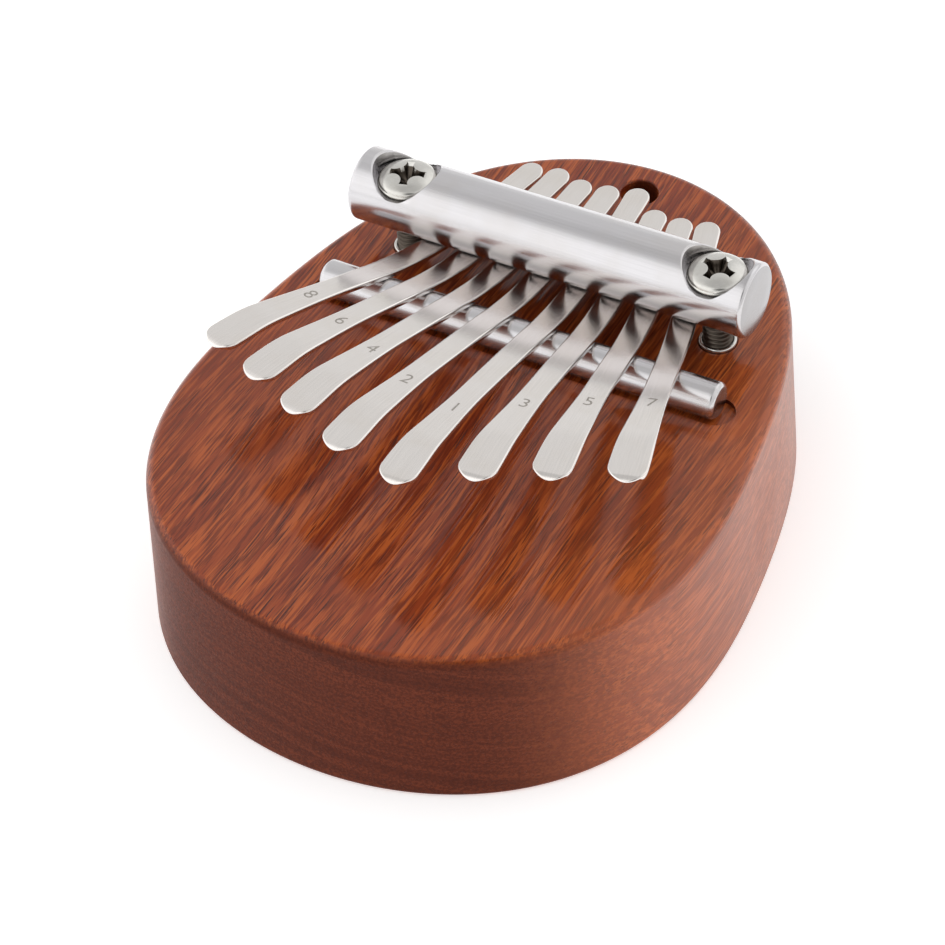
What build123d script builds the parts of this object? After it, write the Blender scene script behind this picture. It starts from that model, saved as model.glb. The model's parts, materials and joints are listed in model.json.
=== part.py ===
"""Eight-tine thumb piano (mbira, also sold as a mini kalimba).

An egg-shaped wooden board carries eight spring-steel tines. The tines cross a
front bridge rod and a rear bridge rod, and a round pressure bar, held by two
screws in threaded inserts, presses them down between the rods. The free ends
rise towards the player's thumbs and spring back when they are plucked.

Frame: millimetres, +X to the player's right along the pressure bar, +Y towards
the lanyard hole, +Z up. The origin is on the resting face, under the middle of
the board.
"""
import os
from math import atan, atan2, cos, degrees, pi, radians, sin, sqrt, tan

from build123d import *

# --- board -------------------------------------------------------------------
BODY_HEIGHT = 22.9
OUTLINE_POINTS = 40
OUTLINE_CENTRE_Y = -1.85
# radius(angle) = sum of RADIUS_TERMS[n] * cos(n * angle), angle from +Y
RADIUS_TERMS = [43.17, 0.0, 6.13, 1.68, -0.14, 0.16]
# the side leans out a little: wider than the mean at the base, narrower on top
SIDE_LEAN = 0.5
# half a step of the outline, which puts its seam beside the line of symmetry
SEAM_SHIFT = 0.5
TOP_EDGE_RADIUS = 1.4
BOTTOM_EDGE_RADIUS = 0.8
LANYARD_HOLE_DIAMETER = 5.0
LANYARD_HOLE_Y = 42.6
LANYARD_HOLE_CHAMFER = 0.3

# --- bridge rods -------------------------------------------------------------
ROD_DIAMETER = 5.0
ROD_END_CHAMFER = 0.45
FRONT_ROD_Y = 7.86
FRONT_ROD_LENGTH = 57.0
FRONT_ROD_PROUD = 4.34
REAR_ROD_Y = 29.0
REAR_ROD_LENGTH = 36.0
REAR_ROD_PROUD = 3.37
GROOVE_CLEARANCE = 0.2
GROOVE_END_ROOM = 1.9

# --- pressure bar ------------------------------------------------------------
BAR_DIAMETER = 10.0
BAR_LENGTH = 56.7
BAR_X = -0.6
BAR_Y = 20.0
BAR_BOTTOM = 3.7
BAR_END_CHAMFER = 0.35
SCREW_SPACING = 44.8
COUNTERBORE_DIAMETER = 8.9
COUNTERBORE_FLOOR = 3.6
BAR_BORE_DIAMETER = 4.5

# --- screws ------------------------------------------------------------------
SCREW_HEAD_DIAMETER = 8.0
SCREW_HEAD_HEIGHT = 2.5
SCREW_HEAD_EDGE = 1.3
SCREW_DIAMETER = 4.0
SCREW_CORE_DIAMETER = 3.2
SCREW_PITCH = 0.7
SCREW_DEPTH_IN_WOOD = 13.0
RECESS_SPAN = 5.1
RECESS_SLOT = 1.3
RECESS_DEPTH = 1.5
RECESS_TURNS = [15.5, -13.0]

# --- threaded inserts, sunk in the board for the screws ------------------------
INSERT_DIAMETER = 5.0
INSERT_PROUD = 0.5
INSERT_DEPTH = 12.0
INSERT_RIM_RADIUS = 0.25
HOLE_CLEARANCE = 0.1

# --- tines -------------------------------------------------------------------
TINE_THICKNESS = 0.8
TINE_SHANK_WIDTH = 3.4
TINE_SPOON_WIDTH = 5.0
TINE_FLARE_LENGTH = 21.3
TINE_FREE_CURVE = 0.0006
TINE_REAR_CURVE = 0.0068
# the thumb end is bent flatter: distance from the tip, length and change of slope
SPOON_BEND_START = 9.5
SPOON_BEND_LENGTH = 4.0
SPOON_BEND_SLOPE = 0.2
TINE_LIP_RADIUS = 1.5
TINE_LIP_TURN = 55.0
TINE_END_RADIUS = 1.7
# where each tine crosses the front rod and ends, from the player's left to right
TINE_ROD_X = [-21.2, -14.85, -8.75, -2.75, 3.5, 9.1, 14.9, 21.2]
TINE_REAR_X = [-11.85, -8.25, -4.65, -0.9, 2.9, 6.65, 10.35, 13.85]
TINE_REAR_ENDS = [36.5, 37.0, 36.3, 36.7, 37.7, 35.0, 34.9, 35.5]
TINE_FRONT_ENDS = [-17.95, -21.8, -25.75, -29.65, -32.05, -26.75, -22.05, -17.75]
# the free blade starts this far in front of the rod, where the strip flexes
FLEX_LINE = 3.0
FLEX_GAP = 0.16
ROD_CONTACT_GAP = 0.01
STRIP_STEP = 2.5

# --- derived sizes -----------------------------------------------------------
ROD_RADIUS = ROD_DIAMETER / 2
BAR_RADIUS = BAR_DIAMETER / 2
BAR_CENTRE_Z = BODY_HEIGHT + BAR_BOTTOM + BAR_RADIUS
FRONT_ROD_Z = BODY_HEIGHT + FRONT_ROD_PROUD - ROD_RADIUS
REAR_ROD_Z = BODY_HEIGHT + REAR_ROD_PROUD - ROD_RADIUS
TINE_COUNT = len(TINE_FRONT_ENDS)


# --- board -------------------------------------------------------------------
def outline_radius(angle):
    """Distance of the board's side from the outline centre, angle from +Y."""
    return sum(term * cos(n * angle) for n, term in enumerate(RADIUS_TERMS))


def outline_face(z, wider):
    """Egg-shaped face at a height, wider all round than the mean outline."""
    points = []
    for step in range(OUTLINE_POINTS):
        angle = 2 * pi * (step + SEAM_SHIFT) / OUTLINE_POINTS
        radius = outline_radius(angle) + wider
        points.append((radius * sin(angle), OUTLINE_CENTRE_Y + radius * cos(angle)))
    return Pos(0, 0, z) * make_face(Spline(*points, periodic=True))


def rod_groove(y, length, depth):
    """Shallow round-ended groove that seats a bridge rod."""
    width = ROD_DIAMETER + GROOVE_CLEARANCE
    plan = Pos(0, y, BODY_HEIGHT - depth) * SlotOverall(length + 2 * GROOVE_END_ROOM, width)
    return extrude(plan, amount=depth + 1)


def make_body():
    """Solid board with rounded edges, rod grooves, screw holes and lanyard hole."""
    base = outline_face(0, SIDE_LEAN)
    top = outline_face(BODY_HEIGHT, -SIDE_LEAN)
    body = loft([base, top], ruled=True)
    body = fillet(body.edges().group_by(Axis.Z)[-1], TOP_EDGE_RADIUS)
    body = fillet(body.edges().group_by(Axis.Z)[0], BOTTOM_EDGE_RADIUS)
    body -= rod_groove(FRONT_ROD_Y, FRONT_ROD_LENGTH, ROD_DIAMETER - FRONT_ROD_PROUD)
    body -= rod_groove(REAR_ROD_Y, REAR_ROD_LENGTH, ROD_DIAMETER - REAR_ROD_PROUD)
    hole_radius = LANYARD_HOLE_DIAMETER / 2
    hole = Cylinder(hole_radius, BODY_HEIGHT + 2, align=(Align.CENTER, Align.CENTER, Align.MIN))
    body -= Pos(0, LANYARD_HOLE_Y, -1) * hole
    rims = body.edges().filter_by(GeomType.CIRCLE)
    rims = [rim for rim in rims if abs(rim.radius - hole_radius) < 0.01 and rim.center().Y > BAR_Y + 15]
    body = chamfer(rims, LANYARD_HOLE_CHAMFER)
    bore_radius = (INSERT_DIAMETER + HOLE_CLEARANCE) / 2
    bore = Cylinder(bore_radius, SCREW_DEPTH_IN_WOOD + 2, align=(Align.CENTER, Align.CENTER, Align.MAX))
    for x in screw_positions():
        body -= Pos(x, BAR_Y, BODY_HEIGHT + 1) * bore
    return body


# --- rods, bar and screws ----------------------------------------------------
def cross_rod(diameter, length, end_chamfer, centre):
    """Round rod along X with chamfered ends."""
    rod = Rot(0, 90, 0) * Cylinder(diameter / 2, length)
    rod = chamfer(rod.edges().filter_by(GeomType.CIRCLE), end_chamfer)
    return Pos(*centre) * rod


def screw_positions():
    """X of the left and right screw, which are centred on the board."""
    return [-SCREW_SPACING / 2, SCREW_SPACING / 2]


def make_bar():
    """Pressure bar with a counterbore and a through bore for each screw."""
    bar = cross_rod(BAR_DIAMETER, BAR_LENGTH, BAR_END_CHAMFER, (BAR_X, BAR_Y, BAR_CENTRE_Z))
    floor = BAR_CENTRE_Z + BAR_RADIUS - COUNTERBORE_FLOOR
    pocket = Cylinder(COUNTERBORE_DIAMETER / 2, BAR_DIAMETER, align=(Align.CENTER, Align.CENTER, Align.MIN))
    bore = Cylinder(BAR_BORE_DIAMETER / 2, 2 * BAR_DIAMETER)
    for x in screw_positions():
        bar -= Pos(x, BAR_Y, floor) * pocket
        bar -= Pos(x, BAR_Y, BAR_CENTRE_Z) * bore
    return bar


def thread_profile(top, bottom):
    """Zig-zag side of the threaded shank, from top to bottom, as (radius, z)."""
    crest = SCREW_DIAMETER / 2
    core = SCREW_CORE_DIAMETER / 2
    points = [(core, top)]
    turns = int((top - bottom - SCREW_PITCH) / SCREW_PITCH)
    for turn in range(turns):
        z = top - (turn + 0.5) * SCREW_PITCH
        points.append((crest, z - 0.1 * SCREW_PITCH))
        points.append((crest, z - 0.2 * SCREW_PITCH))
        points.append((core, z - 0.5 * SCREW_PITCH))
    points.append((core, bottom + 0.6))
    points.append((core - 0.6, bottom))
    return points


def make_screw(x, turn):
    """Pan-head cross-recess screw with its head on the counterbore floor."""
    seat = BAR_CENTRE_Z + BAR_RADIUS - COUNTERBORE_FLOOR
    bottom = BODY_HEIGHT - SCREW_DEPTH_IN_WOOD
    head_radius = SCREW_HEAD_DIAMETER / 2
    shank = Polyline((0, seat), *thread_profile(seat, bottom), (0, bottom), close=True)
    shank = revolve(Plane.XZ * make_face(shank), Axis.Z)
    head_side = Polyline((0, seat), (head_radius, seat), (head_radius, seat + SCREW_HEAD_EDGE))
    crown = (0, seat + SCREW_HEAD_HEIGHT)
    dome = ThreePointArc(
        (head_radius, seat + SCREW_HEAD_EDGE),
        (head_radius * 0.72, seat + SCREW_HEAD_EDGE + 0.82 * (SCREW_HEAD_HEIGHT - SCREW_HEAD_EDGE)),
        crown,
    )
    head = revolve(Plane.XZ * make_face(head_side + dome + Line(crown, (0, seat))), Axis.Z)
    screw = head + shank
    for angle in (turn, turn + 90):
        slot = Box(RECESS_SPAN, RECESS_SLOT, 2 * RECESS_DEPTH)
        screw -= Pos(0, 0, seat + SCREW_HEAD_HEIGHT) * Rot(0, 0, angle) * slot
    return Pos(x, BAR_Y, 0) * screw


def make_insert(x):
    """Threaded sleeve in the board that a screw turns into, with a rounded rim."""
    length = INSERT_DEPTH + INSERT_PROUD
    sleeve = Cylinder(INSERT_DIAMETER / 2, length, align=(Align.CENTER, Align.CENTER, Align.MIN))
    sleeve = fillet(sleeve.edges().group_by(Axis.Z)[-1], INSERT_RIM_RADIUS)
    sleeve -= Cylinder((SCREW_DIAMETER + HOLE_CLEARANCE) / 2, 2 * length + 1)
    return Pos(x, BAR_Y, BODY_HEIGHT - INSERT_DEPTH) * sleeve


# --- tines -------------------------------------------------------------------
class Tine:
    """One tine, in its own vertical plane.

    u runs along the tine from the rod's axis towards the player, w across it.
    """

    def __init__(self, number):
        x, rear_x = TINE_ROD_X[number - 1], TINE_REAR_X[number - 1]
        rear_y = TINE_REAR_ENDS[number - 1]
        self.angle = degrees(atan2(x - rear_x, rear_y - FRONT_ROD_Y))
        lean = cos(radians(self.angle))
        self.front = (FRONT_ROD_Y - TINE_FRONT_ENDS[number - 1]) / lean
        self.rear = (FRONT_ROD_Y - rear_y) / lean
        self.bar = (FRONT_ROD_Y - BAR_Y) / lean
        self.rear_rod = (FRONT_ROD_Y - REAR_ROD_Y) / lean
        self.frame = Pos(x, FRONT_ROD_Y, BODY_HEIGHT) * Rot(0, 0, self.angle - 90)
        # the sloping, skewed strip lies on the rod, so it stands a little higher there
        skew = abs(tan(radians(self.angle))) * TINE_SHANK_WIDTH / 2
        height = FRONT_ROD_PROUD + TINE_THICKNESS
        for _ in range(4):
            slope = 2 * (height - BAR_BOTTOM) / -self.bar
            stretch = sqrt(1 + slope * slope)
            height = FRONT_ROD_PROUD - ROD_RADIUS + (ROD_RADIUS + TINE_THICKNESS) * stretch
            height += slope * skew + ROD_CONTACT_GAP
        self.rod_height = height
        self.rise = slope

    def top(self, u):
        """Height of the strip's upper face over the board, and its slope."""
        if u >= 0:
            past = max(0, u - self.front + SPOON_BEND_START)
            bent = min(past, SPOON_BEND_LENGTH)
            drop = SPOON_BEND_SLOPE * (past - bent + bent * bent / (2 * SPOON_BEND_LENGTH))
            height = self.rod_height + self.rise * u - TINE_FREE_CURVE * u * u - drop
            turned = SPOON_BEND_SLOPE * bent / SPOON_BEND_LENGTH
            return height, self.rise - 2 * TINE_FREE_CURVE * u - turned
        if u >= self.bar:
            part = (u - self.bar) / -self.bar
            sag = self.rod_height - BAR_BOTTOM
            return BAR_BOTTOM + sag * part * part, 2 * sag * part / -self.bar
        reach = max(u, self.rear_rod) - self.bar
        slope = 2 * TINE_REAR_CURVE * reach
        height = BAR_BOTTOM + TINE_REAR_CURVE * reach * reach
        return height + slope * (min(u, self.rear_rod) - self.rear_rod), slope

    def section(self, start, end, lip):
        """Side view of the strip between two places, with a rolled lip if asked."""
        stop = end - TINE_LIP_RADIUS * sin(radians(TINE_LIP_TURN)) if lip else end
        count = max(4, round((stop - start) / STRIP_STEP))
        upper, lower = [], []
        for step in range(count + 1):
            u = start + (stop - start) * step / count
            z, slope = self.top(u)
            tilt = atan(slope)
            upper.append((u, z))
            lower.append((u + TINE_THICKNESS * sin(tilt), z - TINE_THICKNESS * cos(tilt)))
        edges = [Spline(*upper), Spline(*lower)]
        if lip:
            tilt = degrees(tilt)
            turned = tilt - TINE_LIP_TURN
            inner = TINE_LIP_RADIUS - TINE_THICKNESS
            centre = (upper[-1][0] + TINE_LIP_RADIUS * sin(radians(tilt)),
                      upper[-1][1] - TINE_LIP_RADIUS * cos(radians(tilt)))
            edges.append(CenterArc(centre, TINE_LIP_RADIUS, turned + 90, TINE_LIP_TURN))
            edges.append(CenterArc(centre, inner, turned + 90, TINE_LIP_TURN))
            edges.append(Line(edges[2] @ 0, edges[3] @ 0))
        else:
            edges.append(Line(upper[-1], lower[-1]))
        edges.append(Line(upper[0], lower[0]))
        return Plane.XZ * make_face(edges)

    def plan(self):
        """Top view of the whole strip: rounded tail, even shank and spoon end."""
        shank, spoon = TINE_SHANK_WIDTH / 2, TINE_SPOON_WIDTH / 2
        neck = self.front - TINE_FLARE_LENGTH
        widest = self.front - spoon
        tail = self.rear + TINE_END_RADIUS
        side = Line((tail, shank), (neck, shank))
        flare = Spline((neck, shank), (widest, spoon), tangents=[(1, 0), (1, 0)])
        nose = ThreePointArc((widest, spoon), (self.front, 0), (widest, -spoon))
        back_flare = Spline((widest, -spoon), (neck, -shank), tangents=[(-1, 0), (-1, 0)])
        back_side = Line((neck, -shank), (tail, -shank))
        end = ThreePointArc((tail, -shank), (self.rear, 0), (tail, shank))
        return make_face(side + flare + nose + back_flare + back_side + end)

    def piece(self, start, end, lip):
        """Part of the strip between two places, in the object's frame."""
        outline = Pos(0, 0, -5) * extrude(self.plan(), amount=40)
        ribbon = extrude(self.section(start, end, lip), amount=TINE_SPOON_WIDTH, both=True)
        return self.frame * (outline & ribbon)

    def clamped(self):
        """Shank from the tail to just in front of the rod."""
        return self.piece(self.rear - 1, FLEX_LINE - FLEX_GAP / 2, False)

    def blade(self):
        """Free end from just in front of the rod to the tip."""
        return self.piece(FLEX_LINE + FLEX_GAP / 2, self.front, True)

    def hinge(self):
        """Point and axis about which the blade flexes, in the object's frame."""
        height, _ = self.top(FLEX_LINE)
        point = self.frame * Pos(FLEX_LINE, 0, height - TINE_THICKNESS / 2)
        turn = radians(self.angle)
        return point.position, (cos(turn), sin(turn), 0)


# --- write the pieces --------------------------------------------------------
def main():
    """Write one STEP file per piece, and print the places the joints need."""
    parts = {
        "wooden_body": make_body(),
        "front_bridge_rod": cross_rod(
            ROD_DIAMETER, FRONT_ROD_LENGTH, ROD_END_CHAMFER, (0, FRONT_ROD_Y, FRONT_ROD_Z)
        ),
        "rear_bridge_rod": cross_rod(
            ROD_DIAMETER, REAR_ROD_LENGTH, ROD_END_CHAMFER, (0, REAR_ROD_Y, REAR_ROD_Z)
        ),
        "pressure_bar": make_bar(),
    }
    screws = [make_screw(x, turn) for x, turn in zip(screw_positions(), RECESS_TURNS)]
    parts["bar_screws"] = Compound(children=screws)
    parts["threaded_inserts"] = Compound(children=[make_insert(x) for x in screw_positions()])
    for number in range(1, TINE_COUNT + 1):
        tine = Tine(number)
        parts[f"tine_{number}_shank"] = tine.clamped()
        parts[f"tine_{number}_blade"] = tine.blade()
        point, axis = tine.hinge()
        place = ", ".join(f"{value:.3f}" for value in (*point, *axis))
        print(f"tine {number} flex point and axis: {place}")
    os.makedirs("parts", exist_ok=True)
    for name, part in parts.items():
        export_step(part, f"parts/{name}.step")


main()
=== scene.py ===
"""Looks for the eight-tine thumb piano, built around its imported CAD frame.

Shapes are worked out in millimetres in the frame's own axes (+X to the player's
right, +Y towards the lanyard hole, +Z up) and turned into metres as a mesh is made.
"""

import json
import math

import bpy
from mathutils import Matrix, Vector


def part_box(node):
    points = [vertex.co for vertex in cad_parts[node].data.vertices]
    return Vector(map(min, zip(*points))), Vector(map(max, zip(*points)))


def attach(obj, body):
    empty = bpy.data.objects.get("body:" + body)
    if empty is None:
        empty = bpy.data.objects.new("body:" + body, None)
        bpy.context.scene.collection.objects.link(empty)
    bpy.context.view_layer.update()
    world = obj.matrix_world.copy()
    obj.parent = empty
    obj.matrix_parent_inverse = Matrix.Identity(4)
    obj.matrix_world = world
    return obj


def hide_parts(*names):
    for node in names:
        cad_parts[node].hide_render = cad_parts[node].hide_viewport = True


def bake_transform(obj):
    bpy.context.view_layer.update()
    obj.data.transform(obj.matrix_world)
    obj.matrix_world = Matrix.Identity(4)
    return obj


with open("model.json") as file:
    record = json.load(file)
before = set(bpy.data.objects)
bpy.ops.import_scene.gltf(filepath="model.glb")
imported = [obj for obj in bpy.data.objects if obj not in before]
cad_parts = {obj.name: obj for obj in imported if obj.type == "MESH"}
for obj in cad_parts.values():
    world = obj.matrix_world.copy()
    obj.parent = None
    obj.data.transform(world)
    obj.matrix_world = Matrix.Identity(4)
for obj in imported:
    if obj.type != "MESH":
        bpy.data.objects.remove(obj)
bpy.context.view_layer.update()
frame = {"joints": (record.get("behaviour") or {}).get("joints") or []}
MM = 0.001
# texture scale that turns an object's metres into millimetres
IN_MM = (1000, 1000, 1000)


# --- places read from the frame ------------------------------------------------
def box_mm(node):
    """Lowest and highest corner of a CAD node, in millimetres."""
    low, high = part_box(node)
    return low / MM, high / MM


_, BOARD_HIGH = box_mm("wooden_body")
BAR_LOW, BAR_HIGH = box_mm("pressure_bar")
FRONT_ROD_LOW, FRONT_ROD_HIGH = box_mm("front_bridge_rod")
REAR_ROD_LOW, REAR_ROD_HIGH = box_mm("rear_bridge_rod")
SCREWS_LOW, SCREWS_HIGH = box_mm("bar_screws")
INSERTS_LOW, INSERTS_HIGH = box_mm("threaded_inserts")
BOARD_TOP = BOARD_HIGH.z
BAR_CENTRE = (BAR_LOW + BAR_HIGH) / 2
BAR_RADIUS = (BAR_HIGH.z - BAR_LOW.z) / 2
FRONT_ROD = (FRONT_ROD_LOW + FRONT_ROD_HIGH) / 2
REAR_ROD = (REAR_ROD_LOW + REAR_ROD_HIGH) / 2
ROD_RADIUS = (FRONT_ROD_HIGH.z - FRONT_ROD_LOW.z) / 2
JOINTS = {joint["child"]: joint for joint in frame["joints"]}
TINES = range(1, 1 + len(JOINTS))

# --- board ---------------------------------------------------------------------
OUTLINE_CENTRE_Y = -1.85
# radius(angle) = sum of RADIUS_TERMS[n] * cos(n * angle), angle from +Y
RADIUS_TERMS = [43.17, 0.0, 6.13, 1.68, -0.14, 0.16]
OUTLINE_STEPS = 288
# the side leans out: wider than the mean at the base, narrower on top
SIDE_LEAN = 0.5
TOP_EDGE_RADIUS = 1.4
BOTTOM_EDGE_RADIUS = 0.8
# flat strip inside each rounded edge, before the face's own cap
FLAT_BORDER = 0.6
GROOVE_CLEARANCE = 0.2
GROOVE_END_ROOM = 1.9
LANYARD_HOLE_RADIUS = 2.5
LANYARD_HOLE_Y = 42.6
LANYARD_HOLE_FLARE = 0.35
INSERT_HOLE_RADIUS = 2.55
INSERT_HOLE_DEPTH = 14.0

# --- rods, bar, screws and inserts ---------------------------------------------
ROD_END_CHAMFER = 0.45
BAR_END_CHAMFER = 0.35
COUNTERBORE_RADIUS = 4.45
COUNTERBORE_FLOOR = 3.6
COUNTERBORE_CHAMFER = 0.3
BAR_BORE_RADIUS = 2.25
SCREW_HEAD_RADIUS = 4.0
SCREW_HEAD_HEIGHT = 2.5
SCREW_HEAD_EDGE = 1.3
SCREW_RADIUS = 2.0
SCREW_CORE_RADIUS = 1.62
SCREW_PITCH = 0.7
RECESS_REACH = 2.55
RECESS_SLOT = 1.3
RECESS_CORE = 1.3
RECESS_DEPTH = 1.8
RECESS_TURNS = [15.5, -13.0]
INSERT_RADIUS = 2.5
INSERT_BORE_RADIUS = 2.05
INSERT_RIM_RADIUS = 0.25

# --- tines ---------------------------------------------------------------------
TINE_THICKNESS = 0.8
SHANK_HALF_WIDTH = 1.7
SPOON_HALF_WIDTH = 2.5
FLARE_LENGTH = 21.3
FREE_CURVE = 0.0006
REAR_CURVE = 0.0068
# the thumb end is bent flatter: distance from the tip, length and change of slope
SPOON_BEND_START = 9.5
SPOON_BEND_LENGTH = 4.0
SPOON_BEND_SLOPE = 0.2
LIP_RADIUS = 1.5
LIP_TURN = 55.0
FLEX_LINE = 3.0
ROD_CONTACT_GAP = 0.01
TINE_EDGE_RADIUS = 0.22
# steps of the rounded edge, in degrees from the face
EDGE_TURNS = (22.5, 45, 67.5, 90)
ROW_SPACING = 0.6
# millimetres for each unit of the flat map that the steel's streaks follow
STRIP_UNIT = 100
NOTE_DIGITS = ["8", "6", "4", "2", "1", "3", "5", "7"]
DIGIT_HEIGHT = 2.0
DIGIT_BEHIND_TIP = 16.5
# height of a digit as a share of the font's size
DIGIT_SHARE = 0.7
DIGIT_THINNING = 0.012
DIGIT_HALF_DEPTH = 0.04
DIGIT_SINK = 0.03


# --- mesh helpers ----------------------------------------------------------------
def add_mesh(name, points, faces, sharp_angle=40.0):
    """New object from points in millimetres, smooth except at sharp corners."""
    mesh = bpy.data.meshes.new(name)
    mesh.from_pydata([Vector(point) * MM for point in points], [], faces)
    mesh.shade_smooth()
    mesh.set_sharp_from_angle(angle=math.radians(sharp_angle))
    piece = bpy.data.objects.new(name, mesh)
    bpy.context.scene.collection.objects.link(piece)
    return piece


def loft(rings, wrap=False):
    """Points and quads that join closed rings; the ends are capped unless wrapped."""
    count = len(rings[0])
    points = [point for ring in rings for point in ring]
    faces = []
    spans = len(rings) if wrap else len(rings) - 1
    for row in range(spans):
        this = row * count
        after = (row + 1) % len(rings) * count
        for step in range(count):
            near = (step + 1) % count
            faces.append((this + step, this + near, after + near, after + step))
    if not wrap:
        faces.append(tuple(reversed(range(count))))
        last = (len(rings) - 1) * count
        faces.append(tuple(range(last, last + count)))
    return points, faces


def circle(radius, steps):
    """Evenly turned (x, y) points round the origin."""
    turns = [2 * math.pi * step / steps for step in range(steps)]
    return [(radius * math.cos(turn), radius * math.sin(turn)) for turn in turns]


def lathe_x(profile, centre, steps):
    """Rings round an axis along X from (x, radius) pairs."""
    rings = []
    for x, radius in profile:
        ring = circle(radius, steps)
        rings.append([(x, centre.y + across, centre.z + up) for across, up in ring])
    return loft(rings)


def lathe_z(profile, centre, steps, wrap=False):
    """Rings round an axis along Z from (radius, z) pairs."""
    rings = []
    for radius, z in profile:
        rings.append([(centre[0] + x, centre[1] + y, z) for x, y in circle(radius, steps)])
    return loft(rings, wrap)


def corner(centre, radius, start, end, steps):
    """Arc points from one angle to another, in degrees."""
    turns = [math.radians(start + (end - start) * step / steps) for step in range(steps + 1)]
    return [(centre[0] + radius * math.cos(turn), centre[1] + radius * math.sin(turn)) for turn in turns]


def settle(piece, sharp_angle=40.0):
    """Applies the piece's modifiers to its mesh and marks the corners again."""
    graph = bpy.context.evaluated_depsgraph_get()
    mesh = bpy.data.meshes.new_from_object(piece.evaluated_get(graph))
    piece.modifiers.clear()
    piece.data = mesh
    mesh.shade_smooth()
    mesh.set_sharp_from_angle(angle=math.radians(sharp_angle))


def carve(piece, *cutters):
    """Cuts closed meshes out of a piece, one after the other."""
    for cutter in cutters:
        cut = piece.modifiers.new("carve", "BOOLEAN")
        cut.operation = "DIFFERENCE"
        cut.solver = "EXACT"
        cut.object = cutter
        settle(piece)
        bpy.data.objects.remove(cutter)


def soften(piece, width, segments=2, angle=40.0):
    """Rounds the piece's sharp edges by a width in millimetres."""
    bevel = piece.modifiers.new("soften", "BEVEL")
    bevel.width = width * MM
    bevel.segments = segments
    bevel.limit_method = "ANGLE"
    bevel.angle_limit = math.radians(angle)
    bevel.use_clamp_overlap = True
    settle(piece)


def even_shading(piece):
    """Lets large flat faces decide the shading at their borders."""
    weighted = piece.modifiers.new("even_shading", "WEIGHTED_NORMAL")
    weighted.keep_sharp = True
    weighted.weight = 80


# --- node helper -----------------------------------------------------------------
def connect(tree, socket, value):
    """Links a node's output to the socket, or sets a constant there."""
    if isinstance(value, bpy.types.NodeSocket):
        tree.links.new(value, socket)
    else:
        socket.default_value = value


class Look:
    """A material's node tree, with short calls for the nodes used here."""

    def __init__(self, name):
        self.material = bpy.data.materials.new(name)
        self.material.use_nodes = True
        self.tree = self.material.node_tree
        self.tree.nodes.clear()

    def node(self, kind, inputs=None, **settings):
        """New node: its settings are made first, and then its inputs connected."""
        made = self.tree.nodes.new(kind)
        for name, value in settings.items():
            setattr(made, name, value)
        for name, value in (inputs or {}).items():
            self.feed(made, name, value)
        return made

    def feed(self, node, name, value):
        """Connects the node's input of that name or number."""
        if isinstance(name, int):
            socket = node.inputs[name]
        else:
            socket = next(entry for entry in node.inputs
                          if entry.enabled and name in (entry.name, entry.identifier))
        connect(self.tree, socket, value)

    def maths(self, operation, first, second=0.0):
        """One step of arithmetic on numbers or sockets."""
        made = self.node("ShaderNodeMath", operation=operation)
        for socket, value in zip(made.inputs, (first, second)):
            connect(self.tree, socket, value)
        return made.outputs[0]

    def place(self, source, scale):
        """Places scaled along each axis, so that a texture's cells are drawn out."""
        return self.node("ShaderNodeMapping", {"Vector": source, "Scale": scale}).outputs[0]

    def noise(self, source, scale=1.0, detail=2.0, rough=0.5):
        """Smooth noise around 0.5, with finer layers as detail and roughness grow."""
        made = self.node("ShaderNodeTexNoise", {
            "Vector": source, "Scale": scale, "Detail": detail, "Roughness": rough})
        return made.outputs["Fac"]

    def span(self, value, low, high, out_low=0.0, out_high=1.0, smooth=True):
        """Value moved from one range to another and held at its ends."""
        made = self.node("ShaderNodeMapRange", {
            "Value": value, "From Min": low, "From Max": high,
            "To Min": out_low, "To Max": out_high},
            interpolation_type="SMOOTHSTEP" if smooth else "LINEAR")
        return made.outputs["Result"]

    def mix(self, amount, first, second):
        """Colour between two others: the first at 0, the second at 1."""
        made = self.node("ShaderNodeMix", data_type="RGBA")
        self.feed(made, "Factor_Float", amount)
        self.feed(made, "A_Color", first)
        self.feed(made, "B_Color", second)
        return made.outputs[2]

    def bump(self, height, strength, distance):
        """Normal that follows a height, with the distance in metres."""
        made = self.node("ShaderNodeBump", {
            "Height": height, "Strength": strength, "Distance": distance})
        return made.outputs["Normal"]

    def finish(self, **inputs):
        """Adds the shader, with its inputs by socket name, and the output."""
        shader = self.node("ShaderNodeBsdfPrincipled")
        for name, value in inputs.items():
            self.feed(shader, name.replace("_", " "), value)
        output = self.node("ShaderNodeOutputMaterial")
        self.tree.links.new(shader.outputs[0], output.inputs["Surface"])
        return self.material


def colour(red, green, blue):
    """Display colour from 0 to 255 as a linear node colour."""
    shares = [value / 255 for value in (red, green, blue)]
    return (*[share / 12.92 if share < 0.04045 else ((share + 0.055) / 1.055) ** 2.4
              for share in shares], 1.0)


# --- materials -------------------------------------------------------------------
def wandering_grain(look, grain):
    """Places along the grain, which wanders a little from side to side."""
    wander = look.noise(look.place(grain, (0.03, 0.014, 0.03)), detail=1.0)
    shift = look.node("ShaderNodeCombineXYZ", {
        "X": look.maths("MULTIPLY", wander, 9.0), "Z": look.maths("MULTIPLY", wander, 4.0)})
    moved = look.node("ShaderNodeVectorMath", {0: grain, 1: shift.outputs[0]}, operation="ADD")
    return moved.outputs[0]


def growth_layers(look, apart):
    """Places across the growth layers: wide shells round a heart line far below the board."""
    side = look.maths("ADD", apart.outputs["X"], 14.0)
    deep = look.maths("ADD", apart.outputs["Z"], 190.0)
    square = look.maths("ADD", look.maths("MULTIPLY", side, side), look.maths("MULTIPLY", deep, deep))
    shell = look.maths("SQRT", square)
    along = look.maths("MULTIPLY", apart.outputs["Y"], 0.01)
    layers = look.node("ShaderNodeCombineXYZ", {"X": look.maths("MULTIPLY", shell, 0.3), "Y": along})
    return layers.outputs[0]


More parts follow.
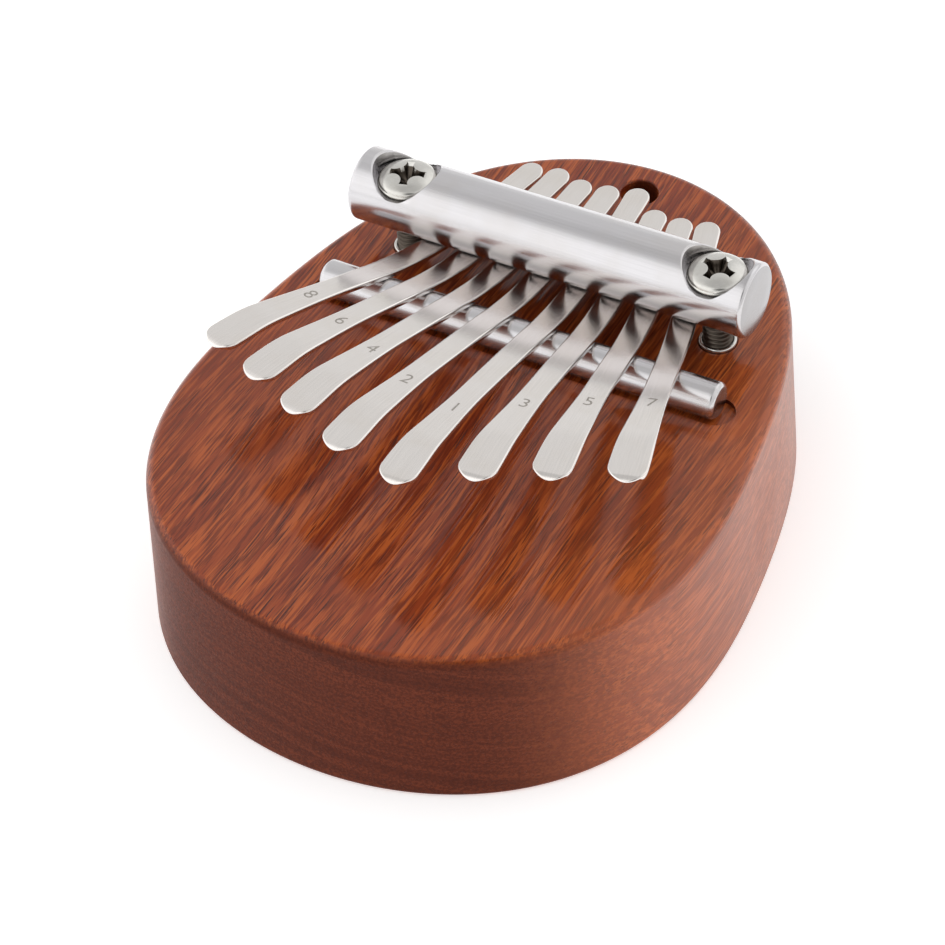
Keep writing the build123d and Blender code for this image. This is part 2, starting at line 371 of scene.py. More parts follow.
def wood_pores(look, warped):
    """Thin cells drawn out along the grain, in some zones more than others."""
    crowd = look.noise(look.place(warped, (0.35, 0.03, 0.35)), detail=2.0)
    pores = []
    for across, lengthwise, reach in ((1.9, 0.08, 0.31), (3.2, 0.15, 0.3)):
        cells = look.node("ShaderNodeTexVoronoi", {
            "Vector": look.place(warped, (across, lengthwise, across)), "Scale": 1.0,
            "Randomness": 1.0}, feature="F1")
        size = look.span(crowd, 0.35, 0.7, reach * 0.6, reach)
        pores.append(look.span(look.maths("SUBTRACT", size, cells.outputs["Distance"]), 0.0, 0.09))
    return look.maths("MAXIMUM", pores[0], pores[1])


def end_grain(look, grain, layers):
    """Dark colour of the wood's cut ends, with even faint layers and specks."""
    speck = look.noise(look.place(grain, (2.6, 1.0, 2.6)), detail=3.0, rough=0.7)
    layer = look.noise(look.place(layers, (2.6, 1.0, 1.0)), detail=2.0, rough=0.7)
    dark = look.mix(look.span(layer, 0.35, 0.65), colour(86, 35, 17), colour(104, 46, 25))
    return look.mix(look.span(speck, 0.42, 0.58, 0.0, 0.6), dark, colour(62, 22, 10))


def lacquered_wood():
    """Reddish brown wood, grain along Y, dark pores and end grain, under satin lacquer."""
    look = Look("lacquered_wood")
    source = look.node("ShaderNodeTexCoord")
    grain = look.place(source.outputs["Object"], IN_MM)
    warped = wandering_grain(look, grain)
    apart = look.node("ShaderNodeSeparateXYZ", {"Vector": warped})
    layers = growth_layers(look, apart)
    # figure, from the widest bands to the finest fibres
    ring = look.noise(layers, detail=3.0, rough=0.6)
    ribbon = look.noise(look.place(warped, (0.24, 0.02, 0.2)), detail=3.0, rough=0.6)
    line = look.noise(look.place(warped, (1.5, 0.06, 1.5)), detail=2.0, rough=0.6)
    fibre = look.noise(look.place(warped, (3.6, 0.16, 3.6)), detail=2.0, rough=0.6)
    base = look.mix(look.span(ring, 0.34, 0.66), colour(132, 47, 15), colour(164, 73, 27))
    base = look.mix(look.span(ribbon, 0.38, 0.62, 0.0, 0.7), base, colour(112, 33, 7))
    base = look.mix(look.span(line, 0.42, 0.6, 0.0, 0.7), base, colour(196, 98, 40))
    base = look.mix(look.span(fibre, 0.46, 0.6, 0.0, 0.7), base, colour(90, 27, 8))
    pore = wood_pores(look, warped)
    base = look.mix(look.maths("MULTIPLY", pore, 0.85), base, colour(62, 18, 7))
    # slow changes of tone over the whole board
    cloud = look.noise(look.place(grain, (0.05, 0.022, 0.05)), detail=2.0)
    base = look.mix(look.span(cloud, 0.35, 0.65, 0.0, 0.3), base, colour(160, 72, 28))
    # paler wood and painted light from the right towards the right edge, along a border that follows the
    # figure
    rightward = look.maths("ADD", apart.outputs["X"], look.maths("MULTIPLY", ribbon, 14.0))
    pale_wood_and_painted_light = look.span(rightward, 18.0, 48.0)
    base = look.mix(look.maths("MULTIPLY", pale_wood_and_painted_light, 0.24), base, colour(196, 110, 60))
    # end grain where the side faces along the grain
    facing = look.node("ShaderNodeSeparateXYZ", {"Vector": source.outputs["Normal"]})
    end = look.span(look.maths("ABSOLUTE", facing.outputs["Y"]), 0.25, 0.9)
    base = look.mix(end, base, end_grain(look, grain, layers))
    # the lacquer: a film that follows the wood faintly, duller on the sides
    relief = look.maths("SUBTRACT", look.maths("MULTIPLY", fibre, 0.3), pore)
    ripple = look.noise(look.place(grain, (0.16, 0.09, 0.16)), detail=2.0)
    film = look.maths("ADD", look.maths("MULTIPLY", relief, 0.25), look.maths("MULTIPLY", ripple, 3.0))
    film = look.maths("ADD", film, look.maths("MULTIPLY", line, 4.0))
    handled = look.noise(look.place(grain, (0.07, 0.07, 0.07)), detail=4.0, rough=0.6)
    sheen = look.span(handled, 0.3, 0.7, 0.1, 0.17)
    upward = look.maths("ABSOLUTE", facing.outputs["Z"])
    matt = look.span(upward, 0.3, 0.9, 0.22, 0.0)
    return look.finish(
        Base_Color=base,
        Roughness=look.span(fibre, 0.2, 0.8, 0.42, 0.6),
        Normal=look.bump(relief, 0.5, 0.00006),
        Specular_IOR_Level=0.08,
        Coat_Weight=look.span(end, 0.0, 1.0, 1.0, 0.08, smooth=False),
        Coat_IOR=1.42,
        Coat_Roughness=look.maths("ADD", sheen, matt),
        Coat_Normal=look.bump(film, 0.35, 0.00003),
    )


def metal(name, tint, rough, streak_scale, streak_depth, use_strip_map=False, painted_shade_ends=0.0):
    """Plated steel with fine drawn streaks, faint handling marks and soft blotches."""
    look = Look(name)
    source = look.node("ShaderNodeTexCoord")
    if use_strip_map:
        place = look.node("ShaderNodeUVMap", uv_map="strip").outputs["UV"]
        place = look.place(place, [STRIP_UNIT] * 3)
    else:
        place = look.place(source.outputs["Object"], IN_MM)
    streaks = look.noise(look.place(place, streak_scale), detail=3.0, rough=0.65)
    blotch = look.noise(look.place(place, (0.12, 0.12, 0.12)), detail=3.0, rough=0.6)
    marks = look.noise(look.place(place, [value * 0.35 for value in streak_scale]), detail=4.0, rough=0.75)
    dimmed = [share * 0.88 for share in tint[:3]] + [1.0]
    base = look.mix(look.span(streaks, 0.3, 0.7, 0.0, 0.5), tint, dimmed)
    stain = [share * fade for share, fade in zip(tint, (0.9, 0.87, 0.82))] + [1.0]
    base = look.mix(look.span(blotch, 0.42, 0.7, 0.0, 0.35), base, stain)
    # painted shade: faces along X, the rod and bar end discs, are turned darker towards near-black
    if painted_shade_ends:
        facing = look.node("ShaderNodeSeparateXYZ", {"Vector": source.outputs["Normal"]})
        end = look.span(look.maths("ABSOLUTE", facing.outputs["X"]), 0.9, 0.99, 0.0, painted_shade_ends)
        base = look.mix(end, base, (0.1, 0.1, 0.1, 1.0))
    roughness = look.maths("ADD", look.span(blotch, 0.3, 0.7, rough * 0.85, rough * 1.15),
                           look.span(marks, 0.55, 0.75, 0.0, rough * 0.4))
    return look.finish(
        Base_Color=base,
        Metallic=1.0,
        Roughness=roughness,
        Normal=look.bump(streaks, streak_depth, 0.00001),
    )


def digit_ink():
    """Dull grey floor of the stamped digits."""
    look = Look("digit_ink")
    place = look.place(look.node("ShaderNodeTexCoord").outputs["Object"], IN_MM)
    grime = look.noise(place, scale=2.0, detail=3.0)
    return look.finish(
        Base_Color=look.mix(look.span(grime, 0.3, 0.7), colour(158, 152, 145), colour(180, 175, 168)),
        Metallic=0.8,
        Roughness=look.span(grime, 0.2, 0.8, 0.4, 0.6),
    )


def paper_floor():
    """Pale matt paper with a faint mottling."""
    look = Look("paper_floor")
    place = look.node("ShaderNodeTexCoord").outputs["Object"]
    mottle = look.noise(place, scale=9.0, detail=3.0)
    tone = look.mix(look.span(mottle, 0.3, 0.7), (0.93, 0.93, 0.93, 1.0), (0.95, 0.95, 0.95, 1.0))
    return look.finish(Base_Color=tone, Roughness=0.9, Specular_IOR_Level=0.1,
                       Emission_Color=(1.0, 1.0, 1.0, 1.0), Emission_Strength=0.4)


# --- board -----------------------------------------------------------------------
def outline_radius(angle):
    """Distance of the mean outline from its centre."""
    return sum(term * math.cos(n * angle) for n, term in enumerate(RADIUS_TERMS))


def outline_slope(angle):
    """Change of the outline's radius with the angle."""
    return -sum(n * term * math.sin(n * angle) for n, term in enumerate(RADIUS_TERMS))


def outline_ring(inset, z):
    """The leaning board's outline at a height, moved inwards along its own normal."""
    ring = []
    for step in range(OUTLINE_STEPS):
        angle = -2 * math.pi * step / OUTLINE_STEPS
        radius = outline_radius(angle) + SIDE_LEAN * (1 - 2 * z / BOARD_TOP)
        turn = outline_slope(angle)
        x = radius * math.sin(angle)
        y = OUTLINE_CENTRE_Y + radius * math.cos(angle)
        tangent = Vector((turn * math.sin(angle) + radius * math.cos(angle),
                          turn * math.cos(angle) - radius * math.sin(angle))).normalized()
        ring.append((x + tangent.y * inset, y - tangent.x * inset, z))
    return ring


def rod_groove(low, high):
    """Cutter for the round-ended groove under a bridge rod."""
    half_width = ROD_RADIUS + GROOVE_CLEARANCE / 2
    reach = high.x + GROOVE_END_ROOM - half_width
    y = (low.y + high.y) / 2
    plan = corner((reach, y), half_width, -90, 90, 24) + corner((-reach, y), half_width, 90, 270, 24)
    rings = [[(px, py, z) for px, py in plan] for z in (low.z, BOARD_TOP + 1)]
    return add_mesh("groove_cutter", *loft(rings))


def lanyard_cutter():
    """Through hole whose rims flare a little at both faces."""
    radius = LANYARD_HOLE_RADIUS
    flare = LANYARD_HOLE_FLARE
    side = [
        (radius + 3 * flare, -2 * flare), (radius + flare, 0.0), (radius + 0.3 * flare, 0.4 * flare),
        (radius, 1.2 * flare), (radius, BOARD_TOP - 1.2 * flare),
        (radius + 0.3 * flare, BOARD_TOP - 0.4 * flare), (radius + flare, BOARD_TOP),
        (radius + 3 * flare, BOARD_TOP + 2 * flare)]
    return add_mesh("lanyard_cutter", *lathe_z(side, (0, LANYARD_HOLE_Y), 72))


def screw_centres():
    """Centre of the left and the right screw, from the box round both."""
    left = SCREWS_LOW.x + SCREW_HEAD_RADIUS
    right = SCREWS_HIGH.x - SCREW_HEAD_RADIUS
    return [(left, BAR_CENTRE.y), (right, BAR_CENTRE.y)]


def make_board():
    """Board with rounded edges, rod grooves, lanyard hole and insert holes."""
    rings = [outline_ring(BOTTOM_EDGE_RADIUS + FLAT_BORDER, 0.0)]
    for inset, z in corner((-BOTTOM_EDGE_RADIUS, BOTTOM_EDGE_RADIUS), BOTTOM_EDGE_RADIUS, -90, 0, 5):
        rings.append(outline_ring(-inset, z))
    for share in (0.25, 0.5, 0.75):
        rings.append(outline_ring(0, BOARD_TOP * share))
    rise = BOARD_TOP - TOP_EDGE_RADIUS
    for inset, z in corner((-TOP_EDGE_RADIUS, rise), TOP_EDGE_RADIUS, 0, 90, 12):
        rings.append(outline_ring(-inset, z))
    rings.append(outline_ring(TOP_EDGE_RADIUS + FLAT_BORDER, BOARD_TOP))
    board = add_mesh("board_wood", *loft(rings))
    cutters = [rod_groove(FRONT_ROD_LOW, FRONT_ROD_HIGH), rod_groove(REAR_ROD_LOW, REAR_ROD_HIGH)]
    cutters.append(lanyard_cutter())
    for centre in screw_centres():
        floor = BOARD_TOP - INSERT_HOLE_DEPTH
        hole = [(INSERT_HOLE_RADIUS, floor), (INSERT_HOLE_RADIUS, BOARD_TOP - 0.1),
                (INSERT_HOLE_RADIUS + 0.1, BOARD_TOP), (INSERT_HOLE_RADIUS + 1, BOARD_TOP + 1)]
        cutters.append(add_mesh("insert_cutter", *lathe_z(hole, centre, 48)))
    carve(board, *cutters)
    even_shading(board)
    return board


# --- rods, bar, screws and inserts -------------------------------------------------
def rounded_end(x, radius, chamfer, toward):
    """(x, radius) pairs from an end face round its chamfer, both edges eased."""
    ease = chamfer * 0.3
    return [
        (x, 0.02), (x, (radius - chamfer) * 0.5), (x, radius - chamfer - ease),
        (x - toward * ease * 0.35, radius - chamfer + ease * 0.25),
        (x - toward * (chamfer - ease * 0.25), radius - ease * 0.35),
        (x - toward * (chamfer + ease), radius)]


def make_rod(name, low, high, chamfer, steps):
    """Round rod along X with eased chamfers, in rings close enough for clean cuts."""
    centre = (low + high) / 2
    radius = (high.z - low.z) / 2
    left = rounded_end(low.x, radius, chamfer, -1)
    right = rounded_end(high.x, radius, chamfer, 1)
    inner = high.x - low.x - 4 * chamfer
    spans = 24
    middle = [(low.x + 2 * chamfer + inner * step / spans, radius) for step in range(spans + 1)]
    return add_mesh(name, *lathe_x(left + middle + right[::-1], centre, steps), sharp_angle=50)


def counterbore_cutter(centre):
    """Counterbore whose chamfered rim follows the bar's round surface."""
    steps = 144
    floor = BAR_HIGH.z - COUNTERBORE_FLOOR
    rings = [[(centre[0] + x, centre[1] + y, floor) for x, y in circle(COUNTERBORE_RADIUS, steps)]]
    for out, up in ((0.0, -1.5), (0.22, -0.6), (1.0, 0.25), (4.0, 2.0)):
        radius = COUNTERBORE_RADIUS + out * COUNTERBORE_CHAMFER
        ring = []
        for x, y in circle(radius, steps):
            across = min(abs(y), COUNTERBORE_RADIUS)
            surface = BAR_CENTRE.z + math.sqrt(BAR_RADIUS ** 2 - across ** 2)
            ring.append((centre[0] + x, centre[1] + y, surface + up * COUNTERBORE_CHAMFER))
        rings.append(ring)
    top = BAR_HIGH.z + 2 * BAR_RADIUS
    rings.append([(x, y, top) for x, y, _ in rings[-1]])
    return add_mesh("counterbore_cutter", *loft(rings))


def make_bar():
    """Pressure bar with its two counterbores and through bores."""
    bar = make_rod("clamp_bar", BAR_LOW, BAR_HIGH, BAR_END_CHAMFER, 144)
    for centre in screw_centres():
        bore = [(BAR_BORE_RADIUS, BAR_LOW.z - 1), (BAR_BORE_RADIUS, BAR_HIGH.z - 1)]
        carve(bar, counterbore_cutter(centre), add_mesh("bore_cutter", *lathe_z(bore, centre, 64)))
    even_shading(bar)
    return bar


def recess_ring(scale, z, centre, turn):
    """Cross recess outline: four blunt arms joined by arcs that bulge inwards."""
    reach = RECESS_REACH
    half_slot = RECESS_SLOT / 2
    near = RECESS_CORE / math.sqrt(2)
    gap = 2 * (reach + half_slot - 2 * near)
    bulge = (reach ** 2 + half_slot ** 2 - 2 * near ** 2) / gap
    radius = math.hypot(reach - bulge, half_slot - bulge)
    start = math.degrees(math.atan2(half_slot - bulge, reach - bulge))
    end = math.degrees(math.atan2(reach - bulge, half_slot - bulge))
    if end > start:
        end -= 360
    arc = corner((bulge, bulge), radius, start, end, 12)
    ring = []
    for quarter in range(4):
        swing = math.radians(90 * quarter + turn)
        for x, y in arc:
            across = x * math.cos(swing) - y * math.sin(swing)
            ahead = x * math.sin(swing) + y * math.cos(swing)
            ring.append((centre[0] + across * scale, centre[1] + ahead * scale, z))
    return ring


def recess_cutter(centre, turn, top):
    """Cross recess that narrows with its depth."""
    levels = [(0.22, -1.0), (0.55, -0.82), (0.8, -0.4), (0.97, -0.03), (1.0, 0.08), (1.12, 0.5)]
    rings = [recess_ring(scale, top + depth * RECESS_DEPTH, centre, turn) for scale, depth in levels]
    return add_mesh("recess_cutter", *loft(rings))


def threaded_shank(name, centre, low, high):
    """Shank whose radius follows a helical thread."""
    steps = 56
    rows_per_turn = 10
    rows = int((high - low) / SCREW_PITCH * rows_per_turn)
    rings = []
    for row in range(rows + 1):
        z = low + (high - low) * row / rows
        ring = []
        for step in range(steps):
            turn = step / steps
            phase = (z / SCREW_PITCH - turn) % 1.0
            flank = abs(phase - 0.5) * 2
            # narrow flat crest and root, with sloping flanks between
            share = min(1.0, max(0.0, (0.86 - flank) / 0.72))
            radius = SCREW_CORE_RADIUS + (SCREW_RADIUS - SCREW_CORE_RADIUS) * share
            # the lowest turn tapers towards the tip
            radius *= min(1.0, 0.72 + (z - low) / 2.0)
            ring.append((centre[0] + radius * math.cos(2 * math.pi * turn),
                         centre[1] + radius * math.sin(2 * math.pi * turn), z))
        rings.append(ring)
    return add_mesh(name, *loft(rings), sharp_angle=60)


def make_screw(side, centre, turn):
    """Domed cross-recess head on a threaded shank, joined into one piece."""
    seat = BAR_HIGH.z - COUNTERBORE_FLOOR
    edge = seat + SCREW_HEAD_EDGE
    top = seat + SCREW_HEAD_HEIGHT
    radius = SCREW_HEAD_RADIUS
    # eased lower edge, rounded rim, and then the shallow dome
    profile = [(radius - 0.25, seat), (radius - 0.07, seat + 0.07), (radius, seat + 0.25)]
    profile += corner((radius - 0.3, edge - 0.3), 0.3, 0, 62, 5)
    rim, rim_z = profile[-1]
    for step in range(1, 11):
        share = step / 10
        profile.append((rim * math.cos(share * math.pi / 2) + 0.02,
                        rim_z + (top - rim_z) * math.sin(share * math.pi / 2) ** 0.9))
    head = add_mesh(f"{side}_screw", *lathe_z(profile, centre, 96), sharp_angle=40)
    carve(head, recess_cutter(centre, turn, top))
    soften(head, 0.05)
    shank = threaded_shank("shank", centre, SCREWS_LOW.z, seat + 0.2)
    join(head, shank)
    even_shading(head)
    return head


def paint_shade_in_recess(screw, centre):
    """Gives the recess and the shank the screw's second, darker material: painted shade in the recess and
    on the shank under the bar.
    """
    seat = BAR_HIGH.z - COUNTERBORE_FLOOR
    rise = SCREW_HEAD_HEIGHT - SCREW_HEAD_EDGE
    for face in screw.data.polygons:
        middle = Vector(face.center) / MM
        out = math.hypot(middle.x - centre[0], middle.y - centre[1]) / SCREW_HEAD_RADIUS
        crown = seat + SCREW_HEAD_EDGE + rise * math.sqrt(max(0.0, 1 - out * out))
        in_recess = out < 0.75 and middle.z < crown - 0.2
        if in_recess or middle.z < seat - 0.1:
            face.material_index = 1


def join(piece, other):
    """Adds the other object's mesh to the piece."""
    with bpy.context.temp_override(active_object=piece, selected_editable_objects=[piece, other]):
        bpy.ops.object.join()


def make_insert(side, centre):
    """Threaded sleeve with a rounded rim just proud of the wood."""
    rim = INSERT_RIM_RADIUS
    top = INSERTS_HIGH.z
    profile = [(INSERT_BORE_RADIUS, INSERTS_LOW.z), (INSERT_RADIUS, INSERTS_LOW.z)]
    profile += corner((INSERT_RADIUS - rim, top - rim), rim, 0, 90, 6)
    profile += [(INSERT_BORE_RADIUS + 0.08, top), (INSERT_BORE_RADIUS, top - 0.08)]
    return add_mesh(f"{side}_insert", *lathe_z(profile, centre, 72, wrap=True))


# --- tines -------------------------------------------------------------------------
class Strip:
    """One tine: u runs from the front rod towards the player, w across it."""

    def __init__(self, number):
        joint = JOINTS[f"tine_{number}"]
        self.across = Vector(joint["axis"])
        self.along = Vector((self.across.y, -self.across.x, 0))
        hinge = Vector(joint["pos_m"]) / MM
        self.origin = hinge - self.along * FLEX_LINE
        self.origin.z = BOARD_TOP
        lean = self.across.x
        blade_low, _ = box_mm(f"tine_{number}_blade")
        _, shank_high = box_mm(f"tine_{number}_shank")
        self.front = (FRONT_ROD.y - blade_low.y - SPOON_HALF_WIDTH) / lean + SPOON_HALF_WIDTH
        self.rear = (FRONT_ROD.y - shank_high.y + SHANK_HALF_WIDTH) / lean - SHANK_HALF_WIDTH
        self.bar = (FRONT_ROD.y - BAR_CENTRE.y) / lean
        self.rear_rod = (FRONT_ROD.y - REAR_ROD.y) / lean
        self.bar_bottom = BAR_LOW.z - BOARD_TOP
        rod_top = FRONT_ROD_HIGH.z - BOARD_TOP
        skew = abs(self.across.y / lean) * SHANK_HALF_WIDTH
        height = rod_top + TINE_THICKNESS
        for _ in range(4):
            slope = 2 * (height - self.bar_bottom) / -self.bar
            stretch = math.sqrt(1 + slope * slope)
            height = rod_top - ROD_RADIUS + (ROD_RADIUS + TINE_THICKNESS) * stretch
            height += slope * skew + ROD_CONTACT_GAP
        self.rod_height = height
        self.rise = slope
        self.lip_start = self.front - LIP_RADIUS * math.sin(math.radians(LIP_TURN))

    def height(self, u):
        """Height of the upper face over the board, and its tilt, before the lip."""
        if u >= 0:
            past = max(0.0, u - self.front + SPOON_BEND_START)
            bent = min(past, SPOON_BEND_LENGTH)
            drop = SPOON_BEND_SLOPE * (past - bent + bent * bent / (2 * SPOON_BEND_LENGTH))
            z = self.rod_height + self.rise * u - FREE_CURVE * u * u - drop
            turned = SPOON_BEND_SLOPE * bent / SPOON_BEND_LENGTH
            return z, math.atan(self.rise - 2 * FREE_CURVE * u - turned)
        if u >= self.bar:
            part = (u - self.bar) / -self.bar
            sag = self.rod_height - self.bar_bottom
            return self.bar_bottom + sag * part * part, math.atan(2 * sag * part / -self.bar)
        reach = max(u, self.rear_rod) - self.bar
        slope = 2 * REAR_CURVE * reach
        z = self.bar_bottom + REAR_CURVE * reach * reach
        return z + slope * (min(u, self.rear_rod) - self.rear_rod), math.atan(slope)

    def surface(self, u):
        """Upper face at u: place along the strip, height and tilt, lip included."""
        if u <= self.lip_start:
            z, tilt = self.height(u)
            return u, z, tilt
        z, tilt = self.height(self.lip_start)
        sine = math.sin(tilt) - (u - self.lip_start) / LIP_RADIUS
        turned = math.asin(max(-1.0, sine))
        z += LIP_RADIUS * (math.cos(turned) - math.cos(tilt))
        return u, z, turned

    def point(self, u, w, depth=0.0):
        """Place in the frame of a point below the upper face."""
        ahead, z, tilt = self.surface(u)
        ahead += depth * math.sin(tilt)
        z -= depth * math.cos(tilt)
        return self.origin + self.along * ahead + self.across * w + Vector((0, 0, z))

    def stations(self):
        """(u, half width, outward normal along u, outward normal across) per row."""
        rows = []
        tail = self.rear + SHANK_HALF_WIDTH
        for turn in range(0, 90, 9):
            swing = math.radians(turn)
            rows.append((tail - SHANK_HALF_WIDTH * math.cos(swing), SHANK_HALF_WIDTH * math.sin(swing),
                         -math.cos(swing), math.sin(swing)))
        neck = self.front - FLARE_LENGTH
        widest = self.front - SPOON_HALF_WIDTH
        count = round((widest - tail) / ROW_SPACING)
        for step in range(count):
            u = tail + (widest - tail) * step / count
            share = min(1.0, max(0.0, (u - neck) / (widest - neck)))
            flare = share * share * (3 - 2 * share)
            slope = 6 * share * (1 - share) * (SPOON_HALF_WIDTH - SHANK_HALF_WIDTH) / (widest - neck)
            half = SHANK_HALF_WIDTH + flare * (SPOON_HALF_WIDTH - SHANK_HALF_WIDTH)
            length = math.hypot(1, slope)
            rows.append((u, half, -slope / length, 1 / length))
        for turn in range(0, 91, 6):
            swing = math.radians(turn)
            rows.append((widest + SPOON_HALF_WIDTH * math.sin(swing), SPOON_HALF_WIDTH * math.cos(swing),
                         math.sin(swing), math.cos(swing)))
        return rows


def cross_section(row):
    """Closed loop round the strip at a row, as (u, w, depth), with rounded edges."""
    u, half, out_u, out_w = row
    edge = TINE_EDGE_RADIUS
    inner_u = u - edge * out_u
    inner_half = max(0.0, half - edge * out_w)
    loop = []
    for depth, sign in ((0.0, 1), (TINE_THICKNESS, -1)):
        for column in range(-4, 5):
            share = math.sin(column / 4 * math.pi / 2) * sign
            loop.append((inner_u, inner_half * share, depth))
        upper = []
        for turn in EDGE_TURNS:
            inset = edge * (1 - math.sin(math.radians(turn)))
            drop = edge * (1 - math.cos(math.radians(turn)))
            upper.append((u - inset * out_u, max(0.0, half - inset * out_w) * sign, drop))
        lower = [(along, across, TINE_THICKNESS - drop) for along, across, drop in upper]
        near, far = (upper, lower) if sign > 0 else (lower, upper)
        loop += near + far[::-1]
    return loop


def make_tine(number):
    """One continuous strip that bends where the CAD shank and blade meet."""
    strip = Strip(number)
    rings = []
    spots = []
    for row in strip.stations():
        loop = cross_section(row)
        rings.append([strip.point(*place) for place in loop])
        spots += [(w / STRIP_UNIT, u / STRIP_UNIT) for u, w, _ in loop]
    tine = add_mesh(f"tine_{number}", *loft(rings), sharp_angle=50)
    layer = tine.data.uv_layers.new(name="strip")
    for corner_of in tine.data.loops:
        layer.data[corner_of.index].uv = spots[corner_of.vertex_index]
    weld(tine)
    even_shading(tine)
    follow_tine(tine)
    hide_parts(f"tine_{number}_shank", f"tine_{number}_blade")
    tine.data.materials.append(SPRING_STEEL)
    make_digit(number, strip)


def weld(piece):
    """Merges the points that meet at the strip's two round tips."""
    merge = piece.modifiers.new("weld", "WELD")
    merge.merge_threshold = 0.004 * MM
    settle(piece, 50)


def follow_tine(piece):
    """Bakes the piece's placement into its mesh."""
    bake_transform(piece)


def make_digit(number, strip):
    """Stamped note number, laid into the tine's upper face."""
    curve = bpy.data.curves.new("digit", "FONT")
    curve.body = NOTE_DIGITS[number - 1]
    curve.align_x = "CENTER"
    curve.align_y = "CENTER"
    curve.size = DIGIT_HEIGHT / DIGIT_SHARE
    curve.offset = -DIGIT_THINNING
    curve.resolution_u = 4
    curve.extrude = DIGIT_HALF_DEPTH
    text = bpy.data.objects.new("digit", curve)
    bpy.context.scene.collection.objects.link(text)
    bpy.context.view_layer.update()
    mesh = bpy.data.meshes.new_from_object(text.evaluated_get(bpy.context.evaluated_depsgraph_get()))
    bpy.data.objects.remove(text)
    digit = bpy.data.objects.new(f"note_number_{number}", mesh)
    bpy.context.scene.collection.objects.link(digit)
    for vertex in mesh.vertices:
        ahead = strip.front - DIGIT_BEHIND_TIP - vertex.co.y
        vertex.co = strip.point(ahead, vertex.co.x, DIGIT_SINK - vertex.co.z) * MM
    follow_tine(digit)
    digit.data.materials.clear()
    digit.data.materials.append(DIGIT_INK)


# --- camera, light and floor -------------------------------------------------------
CAMERA_TARGET = (5.44, -14.96, BOARD_TOP)
CAMERA_DISTANCE = 431.4
CAMERA_AZIMUTH = 31.07
CAMERA_ELEVATION = 43.83
CAMERA_ROLL = -3.98
CAMERA_LENS = 132.7
# half the floor's side in metres
FLOOR_REACH = 3.0
# the tent's even light, then soft patches: azimuth, elevation, inner and outer
# angle from there, and the light that the patch adds or takes away
TENT_LEVEL = 1.1
TENT_PATCHES = [
    (-24, 30, 8, 46, 0.6), (0, 90, 16, 32, -0.34), (120, 28, 15, 38, 0.2), (165, 36, 10, 30, 0.4),
    (-80, 12, 15, 42, 0.6), (211, 44, 14, 36, -0.12), (CAMERA_AZIMUTH, CAMERA_ELEVATION, 10, 22, -1.0)]


def aim(azimuth, elevation):
    """Unit vector from the object towards a place round it."""
    turn = math.radians(azimuth)
    rise = math.radians(elevation)
    return Vector((math.sin(turn) * math.cos(rise), -math.cos(turn) * math.cos(rise), math.sin(rise)))


def make_camera():
    """Camera on the line from its target, rolled about that line."""
    data = bpy.data.cameras.new("camera")
    data.lens = CAMERA_LENS
    data.clip_start = 0.01
    camera = bpy.data.objects.new("camera", data)
    bpy.context.scene.collection.objects.link(camera)
    back = aim(CAMERA_AZIMUTH, CAMERA_ELEVATION)
    turn = (-back).to_track_quat("-Z", "Y").to_matrix().to_4x4()
    roll = Matrix.Rotation(math.radians(CAMERA_ROLL), 4, "Z")
    place = Matrix.Translation((Vector(CAMERA_TARGET) + back * CAMERA_DISTANCE) * MM)
    camera.matrix_world = place @ turn @ roll
    bpy.context.scene.camera = camera


def make_world():
    """Pale tent: even light with brighter and dimmer patches, dark at the camera."""
    world = bpy.data.worlds.new("tent")
    world.use_nodes = True
    tree = world.node_tree
    tree.nodes.clear()
    direction = tree.nodes.new("ShaderNodeTexCoord").outputs["Generated"]

    def glow(toward, inner, outer, amount):
        """Soft round patch: how much it adds, from its inner to its outer angle."""
        near = tree.nodes.new("ShaderNodeVectorMath")
        near.operation = "DOT_PRODUCT"
        tree.links.new(direction, near.inputs[0])
        near.inputs[1].default_value = toward
        spread = tree.nodes.new("ShaderNodeMapRange")
        spread.interpolation_type = "SMOOTHSTEP"
        tree.links.new(near.outputs["Value"], spread.inputs["Value"])
        spread.inputs["From Min"].default_value = math.cos(math.radians(outer))
        spread.inputs["From Max"].default_value = math.cos(math.radians(inner))
        spread.inputs["To Min"].default_value = 0.0
        spread.inputs["To Max"].default_value = amount
        return spread.outputs["Result"]

    def combine(first, second):
        """Sum of two strengths, each a number or a socket."""
        both = tree.nodes.new("ShaderNodeMath")
        connect(tree, both.inputs[0], first)
        connect(tree, both.inputs[1], second)
        return both.outputs[0]

    strength = TENT_LEVEL
    for patch in TENT_PATCHES:
        strength = combine(strength, glow(aim(*patch[:2]), *patch[2:]))
    background = tree.nodes.new("ShaderNodeBackground")
    tree.links.new(strength, background.inputs["Strength"])
    output = tree.nodes.new("ShaderNodeOutputWorld")
    tree.links.new(background.outputs[0], output.inputs["Surface"])
    bpy.context.scene.world = world


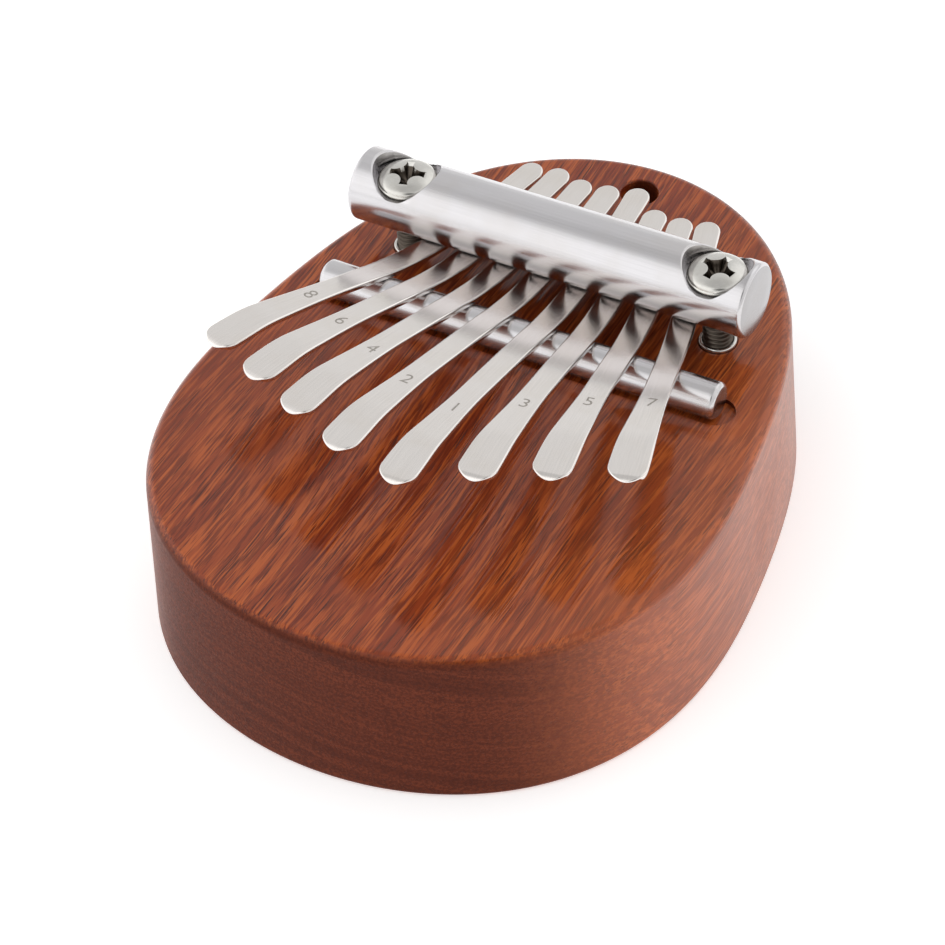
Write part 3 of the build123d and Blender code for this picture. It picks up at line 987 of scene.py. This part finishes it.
def make_floor():
    """Studio floor, level with the board's underside."""
    reach = FLOOR_REACH
    corners = [(-reach, -reach, 0), (reach, -reach, 0), (reach, reach, 0), (-reach, reach, 0)]
    floor = add_mesh("studio_floor", [Vector(place) / MM for place in corners], [(0, 1, 2, 3)])
    floor.data.materials.append(paper_floor())


# --- make everything ---------------------------------------------------------------
make_camera()
make_world()
make_floor()
bpy.context.scene.view_settings.view_transform = "Standard"

WOOD = lacquered_wood()
POLISHED_STEEL = metal(
    "polished_steel", colour(212, 210, 212), 0.2, (0.05, 6.0, 6.0), 0.35, painted_shade_ends=0.38)
NICKEL = metal("nickel_screw", colour(214, 212, 207), 0.22, (1.5, 1.5, 1.5), 0.15)
# darker steel: painted shade for the screw recesses and for the shanks under the bar
PAINTED_SHADE_STEEL = metal("painted_shade_steel", colour(96, 88, 80), 0.35, (1.5, 1.5, 1.5), 0.3)
SPRING_STEEL = metal(
    "spring_steel", colour(236, 231, 227), 0.15, (5.0, 0.12, 1.0), 0.2, use_strip_map=True)
DIGIT_INK = digit_ink()


def place_piece(piece, node, slot, *materials):
    """Rides a rigid piece on the board and lets it stand for a CAD node."""
    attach(piece, "board")
    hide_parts(node)
    piece.data.materials.clear()
    for material in materials:
        piece.data.materials.append(material)


place_piece(make_board(), "wooden_body", "lacquered_wood", WOOD)
front_rod = make_rod("front_rod", FRONT_ROD_LOW, FRONT_ROD_HIGH, ROD_END_CHAMFER, 96)
rear_rod = make_rod("rear_rod", REAR_ROD_LOW, REAR_ROD_HIGH, ROD_END_CHAMFER, 96)
place_piece(front_rod, "front_bridge_rod", "polished_steel", POLISHED_STEEL)
place_piece(rear_rod, "rear_bridge_rod", "polished_steel", POLISHED_STEEL)
place_piece(make_bar(), "pressure_bar", "polished_steel", POLISHED_STEEL)
for side, centre, turn in zip(("left", "right"), screw_centres(), RECESS_TURNS):
    screw = make_screw(side, centre, turn)
    place_piece(screw, "bar_screws", "nickel_screw", NICKEL, PAINTED_SHADE_STEEL)
    paint_shade_in_recess(screw, centre)
    place_piece(make_insert(side, centre), "threaded_inserts", "nickel_screw", NICKEL)
for number in TINES:
    make_tine(number)
